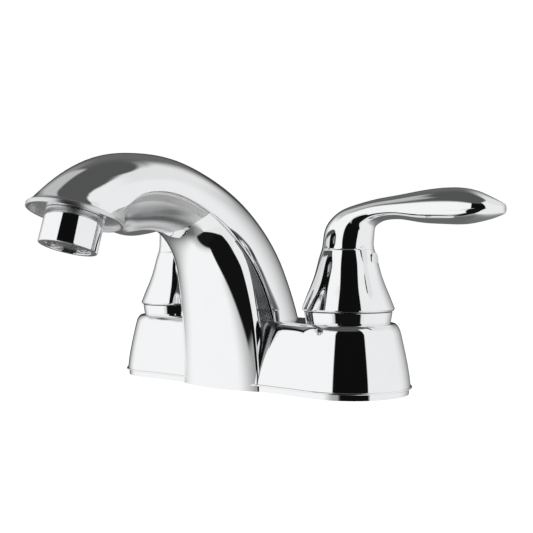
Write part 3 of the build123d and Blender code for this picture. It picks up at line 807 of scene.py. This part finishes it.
    def towards_circle(self, points: list[Vector], tall: float, share: float) -> list[Vector]:
        """Blend a half section into half a circle.

        Args:
            points: the half section, from the crown to the belly.
            tall: distance from belly to crown.
            share: 0 keeps the section, 1 gives the circle.

        Returns:
            The blended points.
        """
        share = share * share * (3 - 2 * share)
        below = len(points) - 1 - self.cap_steps
        radius = tall / 2
        blended = []
        for i, point in enumerate(points):
            if i <= self.cap_steps:
                angle = math.pi / 2 * (1 - i / self.cap_steps)
            else:
                angle = -math.pi / 2 * (i - self.cap_steps) / below
            round_point = Vector((radius * math.cos(angle), radius + radius * math.sin(angle)))
            blended.append(point.lerp(round_point, share))
        return blended

    def ring(self, row: np.ndarray) -> Outline:
        """Whole section at a row of station numbers.

        Args:
            row: belly and crown (Y, Z) and the section's sizes.

        Returns:
            The ring in the object's frame, from the crown over the right side.
        """
        belly, crown = Vector((0, row[0], row[1])), Vector((0, row[2], row[3]))
        across = (crown - belly).normalized()
        half = self.half_section((crown - belly).length, row[4:])
        right = [belly + across * p.y + Vector((p.x, 0, 0)) for p in half]
        left = [Vector((-p.x, p.y, p.z)) for p in right[-2:0:-1]]
        return right + left

    def zones(self, station: float) -> list[int]:
        """Material slots of the spans of a ring.

        Colour stands in for light there: the recess beside the ribbon on the column gets the dark chrome
        of painted shade, and under the arch the ribbon side gets the pale chrome of a painted highlight
        and the belly the rougher, darker chrome of painted shade.

        Args:
            station: number of the station, counted from the foot.

        Returns:
            One slot for each span, from the crown over the right side.
        """
        ledge = self.cap_steps + LEDGE_STEPS // 2
        nook_end = self.cap_steps + LEDGE_STEPS + NOOK_STEPS + 1
        panel_end = nook_end + self.panel_steps + CORNER_STEPS // 2
        ribbon_end = self.half_points - self.belly_steps - CORNER_STEPS // 2
        half = []
        for i in range(self.half_points - 1):
            zone = Zone.POLISHED
            # Recess beside the ribbon on the column: painted shade.
            if ledge <= i < panel_end and station <= self.panel_top:
                zone = Zone.SHADED
            # Under the arch: painted highlight on the ribbon side, rougher chrome with painted shade on
            # the belly.
            elif station > self.arch_start and i >= ledge:
                zone = Zone.PALE if i < ribbon_end else Zone.SOFT
            half.append(int(zone))
        return half + half[::-1]

    def skin(self) -> RingSkin:
        """Grow the spout from the column's foot to the bottom of the outlet.

        Returns:
            The closed skin.
        """
        rows = self.rows()
        places = path_places(rows)
        curve = SmoothCurve(places, rows)
        count = round(places[-1] / self.ring_gap)
        rings = []
        stops = np.linspace(0, places[-1], count + 1)
        for place in stops:
            row = curve.at(float(place))
            row[-1] = max(0.0, (place - places[-2]) / (places[-1] - places[-2]))
            rings.append(self.ring(row))
        foot = [Vector((p.x, p.y, self.foot_level(p.y))) for p in rings[0]]
        skin = RingSkin(foot)
        skin.close()
        for place, ring in zip(stops[1:-1], rings[1:-1]):
            skin.grow([Vector((p.x, p.y, max(p.z, self.foot_level(p.y)))) for p in ring])
            skin.mark(self.zones(float(np.interp(place, places, range(len(places))))))
        for ring in self.rim_rings(rings[-1]):
            skin.grow(ring)
            # The rim and its recess get the rougher, darker chrome: painted shade at the outlet.
            skin.mark([int(Zone.SOFT)] * len(ring))
        return skin.close()

    def foot_level(self, y: float) -> float:
        """Lowest height of the column: on the deck in front, above the deck plate behind."""
        return 0.0 if y < self.foot_front else self.plate_top

    def rim_rings(self, last: Outline) -> list[Outline]:
        """Rings of the round lip, the recess and the hole for the nipple.

        Args:
            last: the spout's last ring, on the rim's plane.

        Returns:
            The rings, in order.
        """
        matrix = self.outlet()
        flat = [matrix.inverted() @ p for p in last]
        unit = [Vector((p.x, p.y, 0)).normalized() for p in flat]
        r, edge, seat, bevel = self.rim_radius, self.rim_edge, self.rim_seat, self.lip_bevel
        inner = r - self.lip_width
        profile = [(r - seat, -self.rim_thickness), (r, -self.rim_thickness + seat), (r, 0)]
        profile += edge_arc(r, edge, edge, EDGE_STEPS)
        profile += [(inner + edge, edge), (inner + bevel, edge - bevel), (inner, 0),
                    (inner, -self.recess), (self.nipple_hole, -self.recess),
                    (self.nipple_hole, -self.recess - self.floor)]
        return [[matrix @ (u * radius + Vector((0, 0, z))) for u in unit] for radius, z in profile]


# Handles


@dataclass(frozen=True)
class Rib:
    """One section of a handle: outer and inner point as (reach, height), width and low share."""

    outer: tuple[float, float]
    inner: tuple[float, float]
    half_width: float
    low_share: float


@dataclass
class Handle:
    """Bell, neck and lever in one piece, with the lever at rest along its azimuth."""

    side: Side
    half_spacing: float = 50.8
    azimuth: float = 100.0
    foot: float = 33.9
    bell_radius: float = 19.35
    bell_wall: float = 2.4
    ring_gap: float = 1.1
    seam_level: float = 59.4
    seam_depth: float = 0.12
    seam_reach: float = 0.18
    lip_inset: float = 1.1
    lip_start: float = 0.85
    lip_reach: float = 0.82
    lip_rise: float = 0.9
    lip_power: float = 1.4
    lip_steps: int = 5
    button_radius: float = 3.3
    button_level: float = 55.0
    button_seat: float = 9.6
    button_face: float = 12.5
    button_edge: float = 0.8
    button_steps: int = 5
    button_points: int = 48
    points: int = 88
    # Rings under the bell, as reach from the inner radius and rise over the foot.
    cavity: tuple[tuple[float, float], ...] = ((-6, 12), (-1, 4), (0, 0.4), (0.4, 0))
    # Rings that close the tip, as share of its size and reach past it.
    tip: tuple[tuple[float, float], ...] = ((0.93, 0.35), (0.8, 0.5))
    bell: list[tuple[float, float]] = field(default_factory=lambda: [
        (19.35, 34.8), (17.3, 40.1), (15.1, 45.5), (13.3, 50.9), (11.8, 56.7), (10.7, 60.5),
    ])
    ribs: list[Rib] = field(default_factory=lambda: [
        Rib((-9.9, 66.5), (10.9, 64.8), 10.1, 0.50),
        Rib((-7.8, 71.0), (11.3, 68.0), 9.4, 0.48),
        Rib((-3.0, 75.2), (12.4, 69.5), 8.9, 0.45),
        Rib((4.0, 77.8), (14.6, 70.7), 8.6, 0.42),
        Rib((13.0, 79.8), (18.2, 71.4), 8.6, 0.40),
        Rib((22.0, 81.0), (24.0, 71.3), 9.0, 0.38),
        Rib((32.0, 82.4), (32.6, 69.8), 9.8, 0.36),
        Rib((42.0, 83.2), (42.2, 69.0), 10.4, 0.36),
        Rib((51.0, 82.6), (51.0, 68.8), 10.4, 0.38),
        Rib((57.0, 80.7), (57.0, 69.8), 10.0, 0.41),
        Rib((60.0, 79.2), (60.0, 70.5), 8.7, 0.44),
        Rib((65.0, 76.4), (65.0, 72.1), 3.2, 0.50),
    ])

    def ring(self, row: np.ndarray) -> Outline:
        """Lens of one section, in the lever's own frame.

        Args:
            row: outer and inner point (reach, height), half width and low share.

        Returns:
            The ring, with the lever along +X.
        """
        outer, inner = Vector((row[0], 0, row[1])), Vector((row[2], 0, row[3]))
        across = outer - inner
        middle = inner + across * row[5]
        low, high = across * row[5], across * (1 - row[5])
        ring = []
        for i in range(self.points):
            angle = 2 * math.pi * i / self.points
            rise = high if math.sin(angle) > 0 else low
            ring.append(middle + Vector((0, row[4] * math.cos(angle), 0)) + rise * math.sin(angle))
        return ring

    def skin(self) -> RingSkin:
        """Grow the handle from the cavity under the bell to the lever's tip.

        Returns:
            The closed skin in the lever's own frame.
        """
        rows = [[-r, z, r, z, r, 0.5] for r, z in self.bell]
        rows += [[*rib.outer, *rib.inner, rib.half_width, rib.low_share] for rib in self.ribs]
        places = path_places(rows)
        curve = SmoothCurve(places, rows)
        inner = self.bell_radius - self.bell_wall
        under = [self.circle_ring(inner + reach, self.foot + rise) for reach, rise in self.cavity]
        skin = RingSkin(under[0])
        skin.close()
        for ring in under[1:]:
            skin.grow(ring)
        skin.grow(self.circle_ring(self.bell_radius - self.lip_inset, self.foot))
        for share in np.linspace(0, 1, self.lip_steps + 1)[1:-1]:
            radius = self.bell_radius - self.lip_start + self.lip_reach * share
            skin.grow(self.circle_ring(radius, self.foot + self.lip_rise * share ** self.lip_power))
        count = round(places[-1] / self.ring_gap)
        stops = np.linspace(0, places[-1], count + 1)
        levels = [row[1] for row in rows]
        seam = float(np.interp(self.seam_level, levels[:len(self.bell)], places[:len(self.bell)]))
        stops = [stop for stop in stops if abs(stop - seam) > 2 * self.seam_reach]
        stops = sorted([*stops, seam - self.seam_reach, seam, seam + self.seam_reach])
        for stop in stops:
            row = curve.at(float(stop))
            if stop == seam:
                row += np.array([1, 0, -1, 0, -1, 0]) * self.seam_depth
            skin.grow(self.ring(row))
        last = self.ring(curve.at(places[-1]))
        for share, forward in self.tip:
            skin.grow(self.shrunk(last, share, forward))
        return skin.close()

    def circle_ring(self, radius: float, height: float) -> Outline:
        """Circle with the points of a lens section.

        Args:
            radius: its radius.
            height: its height.

        Returns:
            The ring.
        """
        return self.ring(np.array([-radius, height, radius, height, radius, 0.5]))

    @staticmethod
    def shrunk(ring: Outline, share: float, forward: float) -> Outline:
        """Ring made smaller about its middle and moved along the lever.

        Args:
            ring: the ring.
            share: its new size as a share of the old.
            forward: how far it moves.

        Returns:
            The new ring.
        """
        middle = sum(ring, Vector()) / len(ring)
        return [middle + (p - middle) * share + Vector((forward, 0, 0)) for p in ring]

    def placement(self) -> Matrix:
        """Matrix from the lever's own frame to its place on this side."""
        matrix = Matrix.Translation((self.half_spacing, 0, 0)) @ Matrix.Rotation(
            math.radians(self.azimuth - 90), 4, "Z"
        )
        if self.side is Side.HOT:
            matrix = Matrix.Scale(-1, 4, (1, 0, 0)) @ matrix
        return matrix

    def build(self) -> bpy.types.Object:
        """Make the handle and set it on its valve."""
        skin = self.skin().move(self.placement())
        prefix = self.side.prefix
        return skin.finish(prefix + "lever_handle", prefix + "lever", PLATE_SLOT, [prefix + "handle"])

    def build_button(self) -> bpy.types.Object:
        """Make the domed button that covers the set screw, on the lever's side of the bell."""
        radius, face, edge = self.button_radius, self.button_face, self.button_edge
        outwards = Matrix.Translation((0, 0, self.button_level)) @ Matrix.Rotation(math.pi / 2, 4, "Y")
        profile = [(radius, face - edge), *edge_arc(radius, face, edge, self.button_steps)]
        skin = RingSkin(circle(radius, self.button_seat, self.button_points))
        skin.close()
        for r, z in profile:
            skin.grow(circle(r, z, self.button_points))
        skin.close().move(self.placement() @ outwards)
        prefix = self.side.prefix
        return skin.finish(prefix + "cap_button", prefix + "lever", PLATE_SLOT, [prefix + "screw_cap"])


@dataclass
class Collar:
    """Turned ring between the base and the bell."""

    side: Side
    half_spacing: float = 50.8
    base_top: float = 29.0
    top: float = 33.6
    foot_radius: float = 17.6
    top_radius: float = 18.4
    bore: float = 17.0
    foot_flare: tuple[float, float] = (0.1, 0.6)
    edge: float = 0.2
    edge_inset: float = 0.05
    points: int = 128

    def build(self) -> bpy.types.Object:
        """Make the ring, closed through its bore."""
        flare, rise = self.foot_flare
        profile = [
            (self.bore, self.base_top), (self.foot_radius, self.base_top),
            (self.foot_radius + flare, self.base_top + rise),
            (self.top_radius - self.edge_inset, self.top - self.edge),
            (self.top_radius - self.edge, self.top), (self.bore, self.top), (self.bore, self.base_top),
        ]
        skin = turned(profile, self.points)
        skin.move(Matrix.Translation((self.side.value * self.half_spacing, 0, 0)))
        prefix = self.side.prefix
        return skin.finish(prefix + "collar_ring", "faucet", PLATE_SLOT, [prefix + "collar"])


@dataclass
class Aerator:
    """Turned housing at the outlet."""

    spout: Spout
    radius: float = 11.03
    reach: float = 12.2
    wall: float = 1.1
    lip: float = 1.0
    lip_width: float = 1.2
    seat_gap: float = 0.1
    edge: float = 0.35
    bevel: float = 0.2
    points: int = 128

    def build(self) -> bpy.types.Object:
        """Make the housing, closed through its bore."""
        inner = self.radius - self.wall
        bore = inner - self.lip_width
        start = -self.spout.recess + self.seat_gap
        profile = [(inner, start), (self.radius - self.bevel, start), (self.radius, start + self.bevel),
                   (self.radius, self.reach - self.edge)]
        profile += edge_arc(self.radius, self.reach, self.edge, EDGE_STEPS)
        profile += [(bore + self.bevel, self.reach), (bore, self.reach - self.bevel),
                    (bore, self.reach - self.lip), (inner, self.reach - self.lip), (inner, start)]
        skin = turned(profile, self.points).move(self.spout.outlet())
        return skin.finish("outlet_aerator", "faucet", PLATE_SLOT, ["aerator_housing"])


@dataclass
class Body:
    """The casting: base and spout as one piece."""

    base: Base
    spout: Spout

    def build(self) -> bpy.types.Object:
        """Join the base's and the spout's skins into one piece."""
        base, spout = self.base.skin(), self.spout.skin()
        part = bpy.data.meshes.new("part")
        spout.mesh.to_mesh(part)
        base.mesh.from_mesh(part)
        spout.mesh.free()
        bpy.data.meshes.remove(part)
        return base.finish(CASTING, "faucet", PLATE_SLOT, ["faucet_body"])


# Studio


@dataclass(frozen=True)
class Panel:
    """Soft-edged patch of the studio around the faucet, in degrees.

    Azimuth 0 is in front of the faucet and 90 at its right. The edges are the widths of the soft
    fades at the start, end, bottom and top. Lean moves the panel's sides in azimuth with each
    degree of height, and slope raises its ends with each degree of azimuth.
    """

    start: float
    end: float
    low: float
    high: float
    level: float
    edges: tuple[float, float, float, float]
    lean: float = 0.0
    slope: float = 0.0

    def mask(self, nodes: Nodes, azimuth: bpy.types.NodeSocket, rise: bpy.types.NodeSocket
             ) -> bpy.types.NodeSocket:
        """Share of the panel in a direction.

        Args:
            nodes: the world's nodes.
            azimuth: socket with the direction's azimuth.
            rise: socket with its height over the horizon.

        Returns:
            Socket that is 1 inside the panel and 0 outside.
        """
        middle, half = (self.start + self.end) / 2, (self.end - self.start) / 2
        offset = nodes.math("WRAP", nodes.math("SUBTRACT", azimuth, middle), 180.0, -180.0)
        across = nodes.math("MULTIPLY_ADD", rise, -self.lean, offset)
        along = nodes.math("MULTIPLY_ADD", offset, -self.slope, rise)
        first, last, bottom, top = (edge / 2 for edge in self.edges)
        sides = nodes.math("MULTIPLY", nodes.smooth(across, -half - first, -half + first),
                           nodes.smooth(across, half + last, half - last))
        ends = nodes.math("MULTIPLY", nodes.smooth(along, self.low - bottom, self.low + bottom),
                          nodes.smooth(along, self.high + top, self.high - top))
        return nodes.math("MULTIPLY", sides, ends)


@dataclass
class Studio:
    """Camera, pale floor and the surroundings that the chrome mirrors."""

    camera_azimuth: float = 42.0
    distance: float = 401.5
    eye: float = 52.8
    focal_px: float = 882.0
    centre_px: tuple[float, float] = (257.4, 265.4)
    frame_px: float = 533.0
    sensor: float = 36.0
    clip: tuple[float, float] = (0.01, 50.0)
    white: float = 1.26
    dim_level: float = 0.12
    floor_radius: float = 6.0
    floor_points: int = 96
    floor_color: tuple[float, float, float] = (0.5, 0.5, 0.5)
    floor_glow: float = 0.95
    panels: list[Panel] = field(default_factory=lambda: [
        # Grey floor, dim room behind, bright walls at the right and left.
        Panel(-182, 182, -140, -67, 0.5, (1, 1, 1, 18)),
        Panel(-190, -98, -75, 58, 0.18, (20, 20, 20, 24)),
        Panel(72.5, 178, -130, 61, 1.16, (2, 70, 10, 6)),
        Panel(110, 193, 32, 59, 1.05, (20, 30, 12, 6), slope=-0.15),
        Panel(-98, 14, -66, 45, 1.27, (50, 20, 20, 12)),
        Panel(-106, -52, 36, 63, 0.68, (5, 26, 10, 6)),
        # Black cards: one behind at the left, one beside the camera.
        Panel(-158, -112, -8, 24, 0.06, (12, 12, 6, 10)),
        Panel(8.0, 72.5, -5.5, 48, 0.006, (2, 2, 2, 5)),
        Panel(20, 76, -14, -4, 0.006, (6, 6, 2, 2)),
        # Low down: grey and white cards with the black ones between them.
        Panel(-2, 16, -32, -6, 0.5, (24, 4, 14, 8)),
        Panel(50, 80, -90, -16, 1.1, (4, 4, 4, 4)),
        Panel(-95, 60, -115, -65, 0.012, (20, 4, 4, 4), slope=0.12),
        Panel(8.5, 78, -74, -12.5, 0.008, (3, 4, 4, 2), lean=0.34),
    ])

    def camera(self) -> None:
        """Set the camera where the photograph was taken from."""
        data = bpy.data.cameras.new("camera")
        data.sensor_width = self.sensor
        data.lens = self.focal_px * data.sensor_width / self.frame_px
        data.shift_x = (self.frame_px / 2 - self.centre_px[0]) / self.frame_px
        data.shift_y = (self.centre_px[1] - self.frame_px / 2) / self.frame_px
        data.clip_start, data.clip_end = self.clip
        camera = bpy.data.objects.new("camera", data)
        turn = math.radians(self.camera_azimuth)
        camera.location = (self.distance * MM * math.sin(turn), -self.distance * MM * math.cos(turn),
                           self.eye * MM)
        camera.rotation_euler = (math.pi / 2, 0, turn)
        bpy.context.scene.collection.objects.link(camera)
        bpy.context.scene.camera = camera

    def floor(self) -> None:
        """Lay the pale floor, which shows white and keeps the faucet's shadow."""
        mesh = bmesh.new()
        bmesh.ops.create_circle(mesh, cap_ends=True, segments=self.floor_points,
                                radius=self.floor_radius)
        data = bpy.data.meshes.new("floor")
        mesh.to_mesh(data)
        mesh.free()
        floor = bpy.data.objects.new("floor", data)
        bpy.context.scene.collection.objects.link(floor)
        floor.visible_glossy = False
        made = bpy.data.materials.new("floor_white")
        made.use_nodes = True
        nodes = Nodes(made.node_tree)
        path = nodes.add("LightPath")
        seen = nodes.math("MAXIMUM", path.outputs["Is Camera Ray"], path.outputs["Is Transmission Ray"])
        matte = nodes.add("BsdfDiffuse", {"Color": (*self.floor_color, 1)}).outputs[0]
        glow = nodes.add("Emission", {"Color": (1, 1, 1, 1), "Strength": self.floor_glow}).outputs[0]
        bright = nodes.add("AddShader", {0: matte, 1: glow}).outputs[0]
        mixed = nodes.add("MixShader", {0: seen, 1: matte, 2: bright}).outputs[0]
        nodes.add("OutputMaterial", {"Surface": mixed})
        data.materials.append(made)
        floor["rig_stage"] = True

    def world(self) -> None:
        """Dress the world with the studio's panels; a camera ray sees plain white."""
        world = bpy.data.worlds.new("studio")
        world.use_nodes = True
        nodes = Nodes(world.node_tree)
        direction = nodes.add("TexCoord").outputs["Generated"]
        parts = nodes.add("SeparateXYZ", {0: direction})
        turn = nodes.math("ARCTAN2", parts.outputs[0], nodes.math("MULTIPLY", parts.outputs[1], -1.0))
        azimuth = nodes.math("DEGREES", turn)
        rise = nodes.math("DEGREES", nodes.math("ARCSINE", parts.outputs[2]))
        level: object = self.dim_level
        for panel in self.panels:
            mask = panel.mask(nodes, azimuth, rise)
            level = nodes.add("Mix", {"Factor": mask, 2: level, 3: panel.level},
                              data_type="FLOAT").outputs[0]
        path = nodes.add("LightPath")
        seen = nodes.add("Mix", {"Factor": path.outputs["Is Camera Ray"], 2: level, 3: self.white},
                         data_type="FLOAT")
        shader = nodes.add("Background", {"Strength": seen.outputs[0]})
        nodes.add("OutputWorld", {"Surface": shader.outputs[0]})
        bpy.context.scene.world = world

    def build(self) -> None:
        """Set up the whole studio."""
        self.camera()
        self.floor()
        self.world()
        bpy.context.scene.view_settings.view_transform = "Standard"


def dress(frame: dict) -> None:
    """Give every piece its finish.
    """
    slots = {part["node"]: part["material_slot"] for part in frame["record"]["subparts"]}
    made = {finish.slot: finish.material() for finish in FINISHES}
    for piece in bpy.context.scene.objects:
        if piece.type != "MESH" or piece.get("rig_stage"):
            continue
        slot = piece.get("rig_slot") or slots[piece["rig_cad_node"]]
        if piece.data.materials:
            piece.data.materials.clear()
        piece.data.materials.append(made[slot])
        if piece.name == CASTING:
            # The casting's further slots hold the chromes that paint shade and a highlight into its
            # colour.
            for finish in PAINTED_LIGHT_CHROMES.values():
                piece.data.materials.append(finish.material())


def main() -> None:
    """Build the faucet around its frame and set up the studio."""
    logging.basicConfig(level=logging.INFO, format="%(name)s: %(message)s")
    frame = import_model()
    spout = Spout()
    Body(Base(), spout).build()
    Aerator(spout).build()
    for side in Side:
        Collar(side).build()
        handle = Handle(side)
        handle.build()
        handle.build_button()
    dress(frame)
    Studio().build()


if __name__ == "__main__":
    main()
